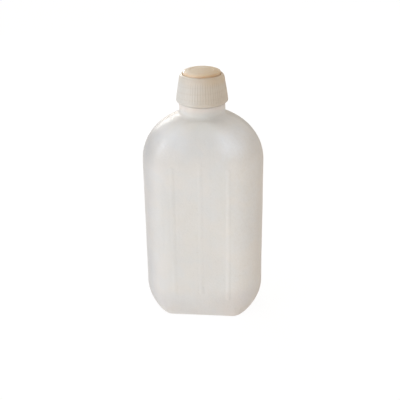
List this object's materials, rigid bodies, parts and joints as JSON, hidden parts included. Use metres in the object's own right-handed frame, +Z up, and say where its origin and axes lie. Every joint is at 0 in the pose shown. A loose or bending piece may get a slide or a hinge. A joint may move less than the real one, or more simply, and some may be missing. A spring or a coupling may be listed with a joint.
{
  "type": "urine bottle",
  "caption": "Flat flask for collecting and measuring urine, with low vertical ribs, closed by a conical screw collar that presses a domed stopper onto the neck.",
  "frame": {"origin": "centre of the base on the ground plane, bottle standing upright and closed", "axes": "+Z up along the neck, +X along the width of the flask, the ribbed front faces -Y"},
  "size_m": [0.12, 0.065, 0.2542],
  "materials": {
    "bottle_body": "satin translucent natural polyethylene",
    "cap_collar": "satin, yellowed natural polyethylene with fine grip ribs",
    "stopper": "smooth tan moulding",
    "seal_washer": "soft pale ring"
  },
  "bodies": {
    "bottle": {"bottle_body": "bottle_body"},
    "stopper_set": {"stopper": "stopper", "seal_washer": "seal_washer"},
    "collar": {"cap_collar": "cap_collar"}
  },
  "joints": [
    {"name": "cap_rise", "type": "slide", "parent": "bottle", "child": "stopper_set", "axis": [0, 0, 1], "range_m": [0, 0.0245]},
    {"name": "cap_unscrew", "type": "hinge", "parent": "stopper_set", "child": "collar", "pos_m": [0, 0, 0.2337], "axis": [0, 0, 1], "range_deg": [0, 1440]}
  ],
  "couplings": [
    {"joint": "cap_rise", "follows": "cap_unscrew", "m_per_rad": 0.00095493}
  ]
}
